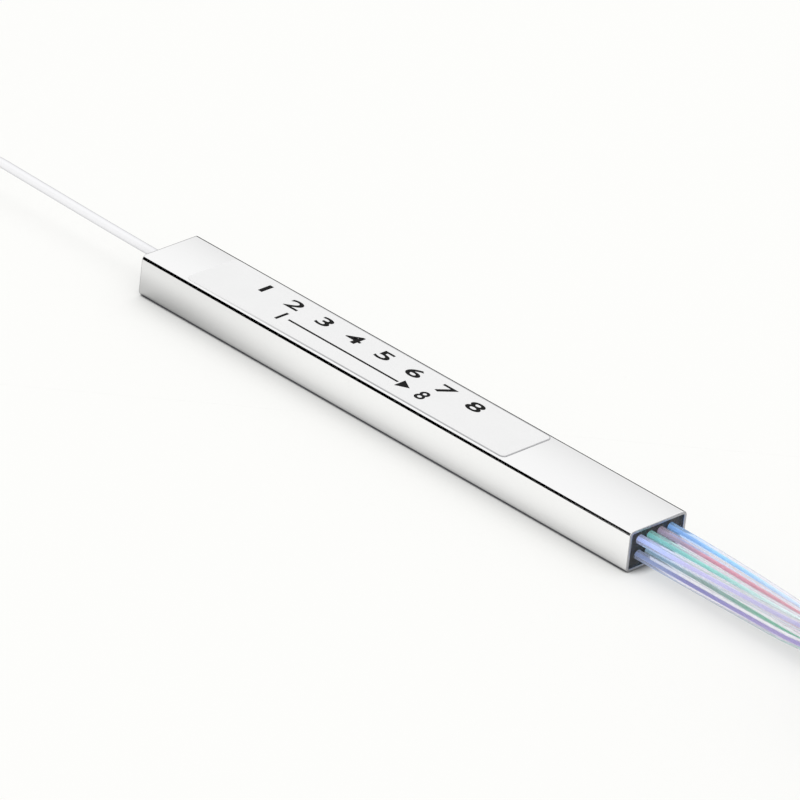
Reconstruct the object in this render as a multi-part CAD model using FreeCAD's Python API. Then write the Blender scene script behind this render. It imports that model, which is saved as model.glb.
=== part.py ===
import FreeCAD, Part
import math
import os

from FreeCAD import Vector

# The part is a 1 to 8 fibre splitter in a rectangular steel tube.
# Millimetres. +X runs along the tube to the output end, +Y across it to the back, +Z up.
# The origin is under the middle of the steel tube, on the surface that it lies on.

# Steel tube
TUBE_LENGTH = 60.0
TUBE_WIDTH = 7.0
TUBE_HEIGHT = 4.0
TUBE_WALL = 0.3
TUBE_EDGE_RADIUS = 0.5

# Label on the top face
LABEL_LENGTH = 39.2
LABEL_WIDTH = 6.15
LABEL_THICKNESS = 0.05
LABEL_CORNER_RADIUS = 0.5
LABEL_CENTRE_X = -5.2
LABEL_CENTRE_Y = -0.12

# Potting in the two ends
SEAL_RECESS = 0.4
SEAL_LENGTH = 3.2

# Loose tubes round the fibres
LOOSE_TUBE_DIAMETER = 0.9
LOOSE_TUBE_BORE = 0.5
LOOSE_TUBE_BORE_DEPTH = 2.5
LOOSE_TUBE_INSIDE_SEAL = 0.5
INPUT_TUBE_HEIGHT = 2.3
OUTPUT_COLUMNS = 4
OUTPUT_ROWS = 2
OUTPUT_COLUMN_PITCH = 1.28
OUTPUT_ROW_PITCH = 1.5
OUTPUT_CENTRE_HEIGHT = 2.0

# Fibres
FIBER_GLASS_DIAMETER = 0.125
FIBER_COATED_DIAMETER = 0.245
FIBER_PITCH = 0.25
FIBER_INSIDE_TUBE = 1.5
FIBER_STRAIGHT = 1.0

# Flat sides of the plain swept sections that stand for round ones
LOOSE_TUBE_SIDES = 12
COATED_FIBER_SIDES = 8

# Splitter chip and its lids
CHIP_LENGTH = 12.0
CHIP_WIDTH = 2.5
CHIP_THICKNESS = 1.0
CHIP_CENTRE_X = -2.0
CHIP_LID_LENGTH = 2.5
CHIP_LID_THICKNESS = 1.0
FACE_ANGLE = 8.0

# Relief of the light paths on the chip, which split in two three times
PATH_WIDTH = 0.06
PATH_HEIGHT = 0.02
PATH_BURIED = 0.02
SPLIT_STAGES = 3
PATH_STRAIGHT = 0.4

# V-groove blocks on both sides of the chip
ARRAY_LENGTH = 10.0
ARRAY_SHELF_LENGTH = 4.0
ARRAY_LID_THICKNESS = 1.0
GROOVE_ANGLE = 60.0

# Adhesive over the coated fibres
BOND_WIDTH = 2.3
BOND_HEIGHT = 0.55
BOND_OVERHANG = 0.8
BOND_ROUNDING = 0.3

# Silicone pads under the glass
CUSHION_HEIGHT = 0.6
CUSHION_WIDTH = 3.4
CUSHION_LENGTH = 4.5
CUSHION_CORNER = 0.4

# Put-away lengths of the loose tubes
LAY_PITCH = 0.97
TIE_THICKNESS = 0.2
COIL_MIDDLE_RADIUS = 7.2
COIL_COLUMNS = 4
COIL_LEVELS = 6
COIL_TIE_WIDTH = 2.0
HANK_OUTER_RADIUS = 11.0
HANK_RUN = 17.8
HANK_COLUMNS = 4
HANK_LEVELS = 3
HANK_TIE_WIDTH = 3.0
BUNDLE_WIDE = 2
BUNDLE_HIGH = 4
COIL_ENTRY_CLEARANCE = 0.3
HANK_ENTRY_CLEARANCE = 1.2

# Each arc of a route takes up this share of the shorter run beside it
ARC_SHARE = 0.45

# Tests of places and directions: two heights that count as one, and an edge that counts as upright
SAME_PLACE = 1e-6
UPRIGHT_SHARE = 0.8

# Where the input tube runs from its seal to the coil: X, Y, Z
INPUT_ROUTE = [
    (-33.5, 0.00, 2.30),
    (-54.5, 0.00, 2.75),
    (-61.0, -1.40, 1.85),
    (-67.5, -3.155, 0.65),
    (-73.9, -3.155, 0.65),
]

# Where the eight output tubes run side by side from their seal to the hank:
# X, Y, Z of the middle, pitch of the columns, pitch of the rows, turn of the bundle in degrees
OUTPUT_ROUTE = [
    (33.5, 0.00, 2.00, 1.28, 1.50, 0),
    (42.0, -0.16, 1.93, 1.17, 1.55, -5),
    (49.0, -0.35, 1.86, 1.05, 1.60, -13),
    (56.0, -0.70, 2.02, 1.02, 1.15, -52),
    (62.5, -1.005, 2.105, 0.97, 0.97, -90),
    (66.5, -1.005, 2.105, 0.97, 0.97, -90),
]

INPUT_END = -TUBE_LENGTH / 2
OUTPUT_END = TUBE_LENGTH / 2
SEAL_OUTER = TUBE_LENGTH / 2 - SEAL_RECESS
SEAL_INNER = SEAL_OUTER - SEAL_LENGTH
LOOSE_TUBE_START = SEAL_INNER - LOOSE_TUBE_INSIDE_SEAL
FIBER_END = LOOSE_TUBE_START + FIBER_INSIDE_TUBE
STACK_BOTTOM = TUBE_WALL + CUSHION_HEIGHT
CORE_HEIGHT = STACK_BOTTOM + CHIP_THICKNESS
CHIP_START = CHIP_CENTRE_X - CHIP_LENGTH / 2
CHIP_END = CHIP_CENTRE_X + CHIP_LENGTH / 2
OUTPUT_COUNT = OUTPUT_COLUMNS * OUTPUT_ROWS
X_AXIS = Vector(1, 0, 0)
Z_AXIS = Vector(0, 0, 1)


def save(shape, name):
    """Writes one piece, and stops if it isn't sound solids."""
    if shape.ShapeType == "Compound" and len(shape.Solids) == 1:
        shape = shape.Solids[0]
    if not shape.isValid() or not shape.Solids:
        raise ValueError(name + " is not a sound solid")
    shape.exportStep("parts/" + name + ".step")
    print(name, "solids", len(shape.Solids), "volume", round(shape.Volume, 4))


def rounded_rectangle(width, height, radius):
    """A wire in the YZ plane at X = 0, centred on the origin."""
    half_y = width / 2
    half_z = height / 2
    inset = radius * (1 - math.sqrt(0.5))
    edges = []
    for turn in range(4):
        angle = turn * math.pi / 2
        first = (half_y, half_z) if turn % 2 == 0 else (half_z, half_y)
        corner = [
            (first[0], first[1] - radius),
            (first[0] - inset, first[1] - inset),
            (first[0] - radius, first[1]),
            (-first[0] + radius, first[1]),
        ]
        points = []
        for across, up in corner:
            y = across * math.cos(angle) - up * math.sin(angle)
            z = across * math.sin(angle) + up * math.cos(angle)
            points.append(Vector(0, y, z))
        edges.append(Part.Arc(points[0], points[1], points[2]).toShape())
        if points[2].distanceToPoint(points[3]) > SAME_PLACE:
            edges.append(Part.LineSegment(points[2], points[3]).toShape())
    return Part.Wire(Part.__sortEdges__(edges))


def bar(width, height, radius, start, end, middle_height):
    """A bar along X with a rounded rectangular section."""
    face = Part.Face(rounded_rectangle(width, height, radius))
    face.translate(Vector(start, 0, middle_height))
    return face.extrude(Vector(end - start, 0, 0))


def block(start, end, width, bottom, top):
    """A square-edged block centred across the tube."""
    return Part.makeBox(end - start, width, top - bottom, Vector(start, -width / 2, bottom))


def face_wedge(x, side):
    """What lies beyond the slanted joint face at x, on its +X side or its -X side."""
    size = TUBE_LENGTH
    wedge = Part.makeBox(size, size, size, Vector(0, -size / 2, -size / 2))
    if side < 0:
        wedge.translate(Vector(-size, 0, 0))
    wedge.rotate(Vector(0, 0, 0), Vector(0, 1, 0), FACE_ANGLE)
    wedge.translate(Vector(x, 0, CORE_HEIGHT))
    return wedge


def many_sided(start, along, diameter, sides):
    """A regular outline square to a direction, with one corner level with its middle."""
    aside = along.cross(Z_AXIS).normalize()
    upward = aside.cross(along).normalize()
    corners = []
    for index in range(sides):
        angle = 2 * math.pi * index / sides
        corner = start.add(aside * (diameter / 2 * math.cos(angle)))
        corners.append(corner.add(upward * (diameter / 2 * math.sin(angle))))
    return Part.makePolygon(corners + corners[:1])


def swept_rod(edges, diameter, sides):
    """A rod along a path of lines and arcs."""
    start = edges[0].valueAt(edges[0].FirstParameter)
    along = edges[0].tangentAt(edges[0].FirstParameter)
    profile = many_sided(start, along, diameter, sides)
    return Part.Wire(edges).makePipeShell([profile], True, False)


def straight_rod(start, run, diameter, sides):
    """A rod that runs straight from its start."""
    return Part.Face(many_sided(start, run, diameter, sides)).extrude(run)


def upright_edges(shape):
    """The edges of a shape that stand upright."""
    return [e for e in shape.Edges if abs(e.tangentAt(e.FirstParameter).z) > UPRIGHT_SHARE]


def rounded_route(points, name):
    """Straight runs joined by tangent arcs, each as large as its two runs allow."""
    edges = []
    radii = []
    here = points[0]
    for before, corner, after in zip(points, points[1:], points[2:]):
        back = before.sub(corner)
        ahead = after.sub(corner)
        shorter = min(back.Length, ahead.Length)
        back.normalize()
        ahead.normalize()
        half_turn = (math.pi - back.getAngle(ahead)) / 2
        reach = ARC_SHARE * shorter
        radius = reach / math.tan(half_turn)
        radii.append(round(radius, 1))
        start = corner.add(back * reach)
        end = corner.add(ahead * reach)
        inward = back.add(ahead)
        inward.normalize()
        depth = radius / math.cos(half_turn) - radius
        middle = corner.add(inward * depth)
        edges.append(Part.LineSegment(here, start).toShape())
        edges.append(Part.Arc(start, middle, end).toShape())
        here = end
    edges.append(Part.LineSegment(here, points[-1]).toShape())
    print(name, "arc radii", radii)
    return edges


def loose_tube(points, name):
    """A loose tube along its route, bored at its start for the fibre."""
    edges = rounded_route(points, name)
    rod = swept_rod(edges, LOOSE_TUBE_DIAMETER, LOOSE_TUBE_SIDES)
    length = sum(edge.Length for edge in edges)
    along = points[1].sub(points[0]).normalize()
    section = Part.Face(many_sided(points[0], along, LOOSE_TUBE_DIAMETER, LOOSE_TUBE_SIDES)).Area
    print(name, "length", round(length, 2), "volume over section times length",
          round(rod.Volume / (section * length), 5))
    bore = straight_rod(points[0], along * LOOSE_TUBE_BORE_DEPTH, LOOSE_TUBE_BORE, LOOSE_TUBE_SIDES)
    return rod.cut(bore)


def steel_tube():
    """The drawn tube, open from end to end."""
    middle = TUBE_HEIGHT / 2
    outside = bar(TUBE_WIDTH, TUBE_HEIGHT, TUBE_EDGE_RADIUS, INPUT_END, OUTPUT_END, middle)
    return outside.cut(tube_inside(INPUT_END, OUTPUT_END))


def tube_inside(start, end):
    """A length of the steel tube's bore."""
    width = TUBE_WIDTH - 2 * TUBE_WALL
    height = TUBE_HEIGHT - 2 * TUBE_WALL
    radius = TUBE_EDGE_RADIUS - TUBE_WALL
    return bar(width, height, radius, start, end, TUBE_HEIGHT / 2)


def top_label():
    """The label, a thin sheet on the top face that laps over the front rounded edge."""
    start = LABEL_CENTRE_X - LABEL_LENGTH / 2
    end = LABEL_CENTRE_X + LABEL_LENGTH / 2
    middle = TUBE_HEIGHT / 2
    radius = TUBE_EDGE_RADIUS + LABEL_THICKNESS
    width = TUBE_WIDTH + 2 * LABEL_THICKNESS
    height = TUBE_HEIGHT + 2 * LABEL_THICKNESS
    sheet = bar(width, height, radius, start, end, middle)
    sheet = sheet.cut(bar(TUBE_WIDTH, TUBE_HEIGHT, TUBE_EDGE_RADIUS, start, end, middle))
    corner = Vector(start, LABEL_CENTRE_Y - LABEL_WIDTH / 2, TUBE_HEIGHT - TUBE_EDGE_RADIUS)
    plate = Part.makeBox(LABEL_LENGTH, LABEL_WIDTH, radius, corner)
    return sheet.common(plate.makeFillet(LABEL_CORNER_RADIUS, upright_edges(plate)))


def output_places():
    """Each output tube's column and row, counted from the middle of the bundle."""
    places = []
    for row in range(OUTPUT_ROWS):
        for column in range(OUTPUT_COLUMNS):
            across = column - (OUTPUT_COLUMNS - 1) / 2
            up = row - (OUTPUT_ROWS - 1) / 2
            places.append((across, up))
    return places


def output_exit(place, x):
    """The middle of an output tube at x, where it is still straight."""
    across, up = place
    y = across * OUTPUT_COLUMN_PITCH
    z = OUTPUT_CENTRE_HEIGHT + up * OUTPUT_ROW_PITCH
    return Vector(x, y, z)


def seal_hole(start):
    """The room that a loose tube takes up in a seal."""
    return straight_rod(start, X_AXIS * TUBE_LENGTH, LOOSE_TUBE_DIAMETER, LOOSE_TUBE_SIDES)


def input_end_seal():
    """Potting round the input tube."""
    seal = tube_inside(-SEAL_OUTER, -SEAL_INNER)
    return seal.cut(seal_hole(Vector(INPUT_END, 0, INPUT_TUBE_HEIGHT)))


def output_end_seal():
    """Potting round the eight output tubes."""
    seal = tube_inside(SEAL_INNER, SEAL_OUTER)
    for place in output_places():
        seal = seal.cut(seal_hole(output_exit(place, 0)))
    return seal


def s_bend(start, end):
    """Two equal arcs that leave and arrive along X."""
    length = end.x - start.x
    offset = Vector(0, end.y - start.y, end.z - start.z)
    rise = offset.Length
    offset.normalize()
    turn = 2 * math.atan(rise / length)
    radius = length / 2 / math.sin(turn)
    near = start.add(X_AXIS * (radius * math.sin(turn / 2)))
    near = near.add(offset * (radius * (1 - math.cos(turn / 2))))
    far = end.sub(X_AXIS * (radius * math.sin(turn / 2)))
    far = far.sub(offset * (radius * (1 - math.cos(turn / 2))))
    middle = (start.add(end)) * 0.5
    return [Part.Arc(start, near, middle).toShape(), Part.Arc(middle, far, end).toShape()]


def fork(start, end):
    """One arm of a split, flat on the chip, as a ribbon of constant width."""
    half = Vector(0, PATH_WIDTH / 2, 0)
    upper = s_bend(start.add(half), end.add(half))
    lower = s_bend(start.sub(half), end.sub(half))
    sides = [
        Part.LineSegment(start.sub(half), start.add(half)).toShape(),
        Part.LineSegment(end.sub(half), end.add(half)).toShape(),
    ]
    return Part.Face(Part.Wire(Part.__sortEdges__(upper + lower + sides)))


def light_paths():
    """The relief that the buried light paths raise on the chip, between its lids."""
    start = CHIP_START + CHIP_LID_LENGTH + PATH_STRAIGHT
    end = CHIP_END - CHIP_LID_LENGTH - PATH_STRAIGHT
    stage = (end - start) / SPLIT_STAGES
    bottom = CORE_HEIGHT - PATH_BURIED
    faces = [path_strip(start - PATH_STRAIGHT, start, 0, bottom)]
    spread = FIBER_PITCH * 2**SPLIT_STAGES / 4
    middles = [0.0]
    for step in range(SPLIT_STAGES):
        branches = []
        for middle in middles:
            for side in (-1, 1):
                branch = middle + side * spread
                here = Vector(start + step * stage, middle, bottom)
                there = Vector(start + (step + 1) * stage, branch, bottom)
                faces.append(fork(here, there))
                branches.append(branch)
        middles = branches
        spread = spread / 2
    for middle in middles:
        faces.append(path_strip(end, end + PATH_STRAIGHT, middle, bottom))
    height = Vector(0, 0, PATH_BURIED + PATH_HEIGHT)
    return [face.extrude(height) for face in faces]


def path_strip(start, end, middle, bottom):
    """A straight light path."""
    return Part.makePlane(end - start, PATH_WIDTH, Vector(start, middle - PATH_WIDTH / 2, bottom))


def plc_chip():
    """The chip, with both end faces slanted and its light paths in relief."""
    spare = CHIP_THICKNESS
    chip = block(CHIP_START - spare, CHIP_END + spare, CHIP_WIDTH, STACK_BOTTOM, CORE_HEIGHT)
    chip = chip.cut(face_wedge(CHIP_START, -1)).cut(face_wedge(CHIP_END, 1))
    for path in light_paths():
        chip = chip.fuse(path)
    return chip.removeSplitter()


def chip_lid(side):
    """A glass block on one end of the chip, polished in one plane with it."""
    spare = CHIP_THICKNESS
    top = CORE_HEIGHT + CHIP_LID_THICKNESS
    if side < 0:
        lid = block(CHIP_START - spare, CHIP_START + CHIP_LID_LENGTH, CHIP_WIDTH, CORE_HEIGHT, top)
        return lid.cut(face_wedge(CHIP_START, -1))
    lid = block(CHIP_END - CHIP_LID_LENGTH, CHIP_END + spare, CHIP_WIDTH, CORE_HEIGHT, top)
    return lid.cut(face_wedge(CHIP_END, 1))


def fiber_lines(count):
    """How far each fibre lies from the middle of its array."""
    return [(index - (count - 1) / 2) * FIBER_PITCH for index in range(count)]


def array_span(side):
    """Where an array's joint face, shelf and rear end lie along X."""
    face = CHIP_START if side < 0 else CHIP_END
    rear = face + side * ARRAY_LENGTH
    shelf = rear - side * ARRAY_SHELF_LENGTH
    return face, shelf, rear


def array_base(side, count):
    """A glass base with V-grooves for bare fibre and a lower shelf for coated fibre."""
    face, shelf, rear = array_span(side)
    spare = CHIP_THICKNESS
    top = CORE_HEIGHT + FIBER_GLASS_DIAMETER / 2
    shelf_top = CORE_HEIGHT - FIBER_COATED_DIAMETER / 2
    front = face - side * spare
    base = block(min(front, rear), max(front, rear), CHIP_WIDTH, STACK_BOTTOM, top)
    low = block(min(shelf, rear), max(shelf, rear), CHIP_WIDTH, shelf_top, top)
    base = base.cut(low)
    half_angle = math.radians(GROOVE_ANGLE / 2)
    depth = FIBER_GLASS_DIAMETER / 2 * (1 + 1 / math.sin(half_angle))
    half_width = depth * math.tan(half_angle)
    for y in fiber_lines(count):
        corners = [
            Vector(min(front, shelf), y - half_width, top),
            Vector(min(front, shelf), y + half_width, top),
            Vector(min(front, shelf), y, top - depth),
        ]
        groove = Part.Face(Part.makePolygon(corners + corners[:1]))
        base = base.cut(groove.extrude(Vector(abs(shelf - front), 0, 0)))
    return base.cut(face_wedge(face, -side))


def array_lid(side):
    """A glass cover that presses the bare fibres into their grooves."""
    face, shelf, rear = array_span(side)
    spare = CHIP_THICKNESS
    bottom = CORE_HEIGHT + FIBER_GLASS_DIAMETER / 2
    front = face - side * spare
    top = CORE_HEIGHT + ARRAY_LID_THICKNESS
    lid = block(min(front, shelf), max(front, shelf), CHIP_WIDTH, bottom, top)
    return lid.cut(face_wedge(face, -side))


def fiber_bond(side, count):
    """Adhesive over the coated fibres, from the lid's rear to just past the shelf."""
    face, shelf, rear = array_span(side)
    bottom = CORE_HEIGHT - FIBER_COATED_DIAMETER / 2
    end = rear + side * BOND_OVERHANG
    bead = block(min(shelf, end), max(shelf, end), BOND_WIDTH, bottom, bottom + BOND_HEIGHT)
    rounded = [e for e in bead.Edges if is_free_top(e, bottom + BOND_HEIGHT, shelf)]
    bead = bead.makeFillet(BOND_ROUNDING, rounded)
    passage = count * FIBER_PITCH
    slot = block(min(shelf, end), max(shelf, end), passage, bottom, bottom + FIBER_COATED_DIAMETER)
    return bead.cut(slot)


def is_free_top(edge, height, shelf):
    """True for a bead's top edges, apart from the one against the lid."""
    middle = edge.CenterOfMass
    return abs(middle.z - height) < SAME_PLACE and abs(middle.x - shelf) > SAME_PLACE


def fiber(side, y, end):
    """A fibre: bare in its groove, then coated and bent to the middle of its loose tube."""
    face, shelf, rear = array_span(side)
    front = face - side * CHIP_THICKNESS
    along = X_AXIS * side
    start = Vector(front, y, CORE_HEIGHT)
    glass = Part.makeCylinder(FIBER_GLASS_DIAMETER / 2, abs(shelf - front), start, along)
    glass = glass.cut(face_wedge(face, -side))
    bend_start = Vector(rear + side * (BOND_OVERHANG + FIBER_STRAIGHT), y, CORE_HEIGHT)
    bend_end = Vector(side * (LOOSE_TUBE_START - FIBER_STRAIGHT), end.y, end.z)
    if side > 0:
        bend = s_bend(bend_start, bend_end)
    else:
        bend = [mirrored(edge) for edge in s_bend(flipped(bend_start), flipped(bend_end))]
    first = Part.LineSegment(Vector(shelf, y, CORE_HEIGHT), bend_start).toShape()
    last = Part.LineSegment(bend_end, end).toShape()
    coated = swept_rod([first] + bend + [last], FIBER_COATED_DIAMETER, COATED_FIBER_SIDES)
    return glass.fuse(coated)


def flipped(point):
    """A point seen from the other end of the tube."""
    return Vector(-point.x, point.y, point.z)


def mirrored(edge):
    """An arc seen from the other end of the tube."""
    half = (edge.FirstParameter + edge.LastParameter) / 2
    points = [edge.valueAt(t) for t in (edge.FirstParameter, half, edge.LastParameter)]
    return Part.Arc(*[flipped(point) for point in points]).toShape()


def cushion(middle):
    """A silicone pad between the tube's floor and the glass."""
    pad = block(middle - CUSHION_LENGTH / 2, middle + CUSHION_LENGTH / 2, CUSHION_WIDTH,
                TUBE_WALL, STACK_BOTTOM)
    return pad.makeChamfer(CUSHION_CORNER, upright_edges(pad))


def input_tube():
    """The input tube, from inside its seal to the coil."""
    points = [Vector(-LOOSE_TUBE_START, 0, INPUT_TUBE_HEIGHT)]
    points += [Vector(*point) for point in INPUT_ROUTE]
    return loose_tube(points, "input_tube")


def output_tube(place, name):
    """One output tube, from inside the seal to the hank."""
    points = [output_exit(place, LOOSE_TUBE_START)]
    for x, y, z, column_pitch, row_pitch, turn in OUTPUT_ROUTE:
        angle = math.radians(turn)
        across = place[0] * column_pitch
        up = place[1] * row_pitch
        aside = across * math.cos(angle) - up * math.sin(angle)
        above = across * math.sin(angle) + up * math.cos(angle)
        points.append(Vector(x, y + aside, z + above))
    return loose_tube(points, name)


def wound_height(levels):
    """How high so many tubes lie on each other."""
    return LOOSE_TUBE_DIAMETER + (levels - 1) * LAY_PITCH


def coil_centre():
    """The middle of the coil on the floor, which its tube meets along its side."""
    x, y, z = INPUT_ROUTE[-1]
    return x, y + COIL_MIDDLE_RADIUS + (COIL_COLUMNS - 1) / 2 * LAY_PITCH


def hank_centre():
    """The middle of the hank's first round end, whose outer turns the bundle meets."""
    x, y = OUTPUT_ROUTE[-1][:2]
    return x, y + HANK_OUTER_RADIUS - wound_height(BUNDLE_WIDE) / 2


def coil_radii():
    """The inner and outer radius of the input coil."""
    half = wound_height(COIL_COLUMNS) / 2
    return COIL_MIDDLE_RADIUS - half, COIL_MIDDLE_RADIUS + half


def input_coil():
    """The outer shape of the coiled input tube, with the tube's way in."""
    inner, outer = coil_radii()
    height = wound_height(COIL_LEVELS)
    x, y = coil_centre()
    middle = Vector(x, y, TIE_THICKNESS)
    ring = Part.makeCylinder(outer, height, middle)
    ring = ring.cut(Part.makeCylinder(inner, height, middle))
    half = LOOSE_TUBE_DIAMETER / 2 + COIL_ENTRY_CLEARANCE
    way_in = Part.makeBox(outer, 2 * half, 2 * half,
                          Vector(x, INPUT_ROUTE[-1][1] - half, TIE_THICKNESS))
    return ring.cut(way_in)


def input_coil_tie():
    """A thin band round the coil's section, bent with the coil."""
    x, y = coil_centre()
    centre = Vector(x, y, 0)
    angle = math.degrees(COIL_TIE_WIDTH / COIL_MIDDLE_RADIUS)
    solids = []
    for spare in (TIE_THICKNESS, 0):
        inner, outer = coil_radii()
        bottom = TIE_THICKNESS - spare
        top = TIE_THICKNESS + wound_height(COIL_LEVELS) + spare
        corners = [
            Vector(x, y + inner - spare, bottom),
            Vector(x, y + outer + spare, bottom),
            Vector(x, y + outer + spare, top),
            Vector(x, y + inner - spare, top),
        ]
        section = Part.Face(Part.makePolygon(corners + corners[:1]))
        section.rotate(centre, Z_AXIS, -angle / 2)
        solids.append(section.revolve(centre, Z_AXIS, angle))
    return solids[0].cut(solids[1])


def racetrack(radius, height):
    """A solid with two straight sides and two round ends, standing on the tie's thickness."""
    x, y = hank_centre()
    z = TIE_THICKNESS
    far = x + HANK_RUN
    lines = [
        Part.LineSegment(Vector(x, y - radius, z), Vector(far, y - radius, z)),
        Part.Arc(Vector(far, y - radius, z), Vector(far + radius, y, z), Vector(far, y + radius, z)),
        Part.LineSegment(Vector(far, y + radius, z), Vector(x, y + radius, z)),
        Part.Arc(Vector(x, y + radius, z), Vector(x - radius, y, z), Vector(x, y - radius, z)),
    ]
    outline = Part.Wire([line.toShape() for line in lines])
    return Part.Face(outline).extrude(Vector(0, 0, height))


def output_hank():
    """The outer shape of the eight output tubes wound together, with their way in."""
    height = wound_height(HANK_LEVELS * BUNDLE_HIGH)
    width = wound_height(HANK_COLUMNS * BUNDLE_WIDE)
    ring = racetrack(HANK_OUTER_RADIUS, height).cut(racetrack(HANK_OUTER_RADIUS - width, height))
    end = OUTPUT_ROUTE[-1]
    half = wound_height(BUNDLE_WIDE) / 2 + HANK_ENTRY_CLEARANCE
    way_in = Part.makeBox(HANK_OUTER_RADIUS, 2 * half, BUNDLE_HIGH * LAY_PITCH,
                          Vector(end[0] - HANK_OUTER_RADIUS, end[1] - half, TIE_THICKNESS))
    return ring.cut(way_in)


def output_hank_tie():
    """A thin band round the waist of the hank."""
    top = TIE_THICKNESS + wound_height(HANK_LEVELS * BUNDLE_HIGH)
    width = 2 * HANK_OUTER_RADIUS
    x, y = hank_centre()
    start = x + HANK_RUN / 2 - HANK_TIE_WIDTH / 2
    end = start + HANK_TIE_WIDTH
    band = block(start, end, width + 2 * TIE_THICKNESS, 0, top + TIE_THICKNESS)
    band = band.cut(block(start, end, width, TIE_THICKNESS, top))
    band.translate(Vector(0, y, 0))
    return band


def main():
    """Builds and writes each piece."""
    os.makedirs("parts", exist_ok=True)
    save(steel_tube(), "steel_tube")
    save(top_label(), "top_label")
    save(input_end_seal(), "input_end_seal")
    save(output_end_seal(), "output_end_seal")
    save(plc_chip(), "plc_chip")
    save(chip_lid(-1), "chip_input_lid")
    save(chip_lid(1), "chip_output_lid")
    save(array_base(-1, 1), "input_array_base")
    save(array_lid(-1), "input_array_lid")
    save(array_base(1, OUTPUT_COUNT), "output_array_base")
    save(array_lid(1), "output_array_lid")
    save(fiber_bond(-1, 1), "input_fiber_bond")
    save(fiber_bond(1, OUTPUT_COUNT), "output_fiber_bond")
    save(cushion(CHIP_START - ARRAY_LENGTH / 2), "input_array_cushion")
    save(cushion(CHIP_CENTRE_X), "chip_cushion")
    save(cushion(CHIP_END + ARRAY_LENGTH / 2), "output_array_cushion")
    save(fiber(-1, 0, Vector(-FIBER_END, 0, INPUT_TUBE_HEIGHT)), "input_fiber")
    save(input_tube(), "input_tube")
    places = output_places()
    lines = fiber_lines(OUTPUT_COUNT)
    order = sorted(range(OUTPUT_COUNT), key=lambda index: (places[index][0], places[index][1]))
    for number, (index, y) in enumerate(zip(order, lines), start=1):
        end = output_exit(places[index], FIBER_END)
        save(fiber(1, y, end), "output_fiber_" + str(number))
        save(output_tube(places[index], "output_tube_" + str(number)), "output_tube_" + str(number))
    save(input_coil(), "input_coil")
    save(input_coil_tie(), "input_coil_tie")
    save(output_hank(), "output_hank")
    save(output_hank_tie(), "output_hank_tie")


main()
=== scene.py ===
"""Looks of a fibre splitter in a steel tube, with one input tube and eight output tubes."""

import logging
import math
from collections.abc import Callable, Iterable, Sequence
from dataclasses import dataclass
from enum import Enum

import bmesh
import bpy
from mathutils import Matrix, Vector

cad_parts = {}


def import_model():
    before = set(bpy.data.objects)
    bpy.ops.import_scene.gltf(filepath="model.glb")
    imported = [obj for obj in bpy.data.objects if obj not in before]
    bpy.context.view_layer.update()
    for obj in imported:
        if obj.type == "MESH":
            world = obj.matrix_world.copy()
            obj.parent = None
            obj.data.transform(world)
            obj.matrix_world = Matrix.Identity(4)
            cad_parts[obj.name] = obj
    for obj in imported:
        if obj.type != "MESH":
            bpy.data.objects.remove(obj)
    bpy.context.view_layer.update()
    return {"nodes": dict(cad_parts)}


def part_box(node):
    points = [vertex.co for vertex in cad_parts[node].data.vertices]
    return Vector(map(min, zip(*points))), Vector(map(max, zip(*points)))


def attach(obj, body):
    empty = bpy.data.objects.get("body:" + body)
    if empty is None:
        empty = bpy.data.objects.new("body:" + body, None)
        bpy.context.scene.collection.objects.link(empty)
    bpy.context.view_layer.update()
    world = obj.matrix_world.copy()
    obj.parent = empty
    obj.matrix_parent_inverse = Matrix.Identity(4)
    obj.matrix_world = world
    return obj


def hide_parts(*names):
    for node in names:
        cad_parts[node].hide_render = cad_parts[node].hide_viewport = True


LOG = logging.getLogger("splitter")
MM = 0.001
BODY = "root"
WHITE = "FFFFFF"
BLACK = "000000"
# Places of the two colours and of the blend among the Mix node's sockets
MIX_A = 6
MIX_B = 7
MIX_RESULT = 2
# A cord's segments in each quarter of its section, its steps between two points, and its order
CORD_SIDES = 3
CORD_STEPS = 4
CORD_ORDER = 3
# How much of an edge's direction, or of a face's normal, has to lie along the splitter
LEAST_LENGTHWISE = 0.99
LEAST_END_FACING = 0.9
# How near the plane of a cut a corner counts as on it, in metres
SAME_PLACE = 1e-9


class Tint(Enum):
    """True colours of the coated fibres, as sRGB hex values."""

    VIOLET = "6F66B4"
    GREEN = "36A98E"
    RED = "C4607A"
    BLUE = "4A8EE8"


class Side(Enum):
    """The two ends of the steel tube, as directions along X."""

    INPUT = -1
    OUTPUT = 1


def linear(colour: str) -> tuple[float, float, float, float]:
    """Turns an sRGB hex value to the linear colour that a shader takes.

    Args:
        colour: Six hex digits.

    Returns:
        Red, green, blue and an alpha of one.
    """
    parts = [int(colour[place:place + 2], 16) / 255 for place in (0, 2, 4)]
    red, green, blue = [c / 12.92 if c <= 0.04045 else ((c + 0.055) / 1.055) ** 2.4 for c in parts]
    return red, green, blue, 1.0


def add_node(
    tree: bpy.types.NodeTree,
    kind: str,
    settings: dict[str, object] | None = None,
    inputs: dict[str | int, object] | None = None,
) -> bpy.types.Node:
    """Adds a node to a tree.

    Args:
        tree: The tree that gets the node.
        kind: Blender's name of the node's type.
        settings: Values of its properties, by name.
        inputs: Values of its inputs, or the outputs that feed them, by name or place.

    Returns:
        The new node.
    """
    node = tree.nodes.new(kind)
    for name, value in (settings or {}).items():
        setattr(node, name, value)
    for name, value in (inputs or {}).items():
        if isinstance(value, bpy.types.NodeSocket):
            tree.links.new(value, node.inputs[name])
        else:
            node.inputs[name].default_value = value
    return node


def new_material(name: str) -> bpy.types.Material:
    """Makes an empty material with nodes."""
    material = bpy.data.materials.new(name)
    material.use_nodes = True
    material.node_tree.nodes.clear()
    return material


def finish_surface(tree: bpy.types.NodeTree, shader: bpy.types.Node) -> None:
    """Joins a shader to the material's output."""
    add_node(tree, "ShaderNodeOutputMaterial", inputs={"Surface": shader.outputs[0]})


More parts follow.
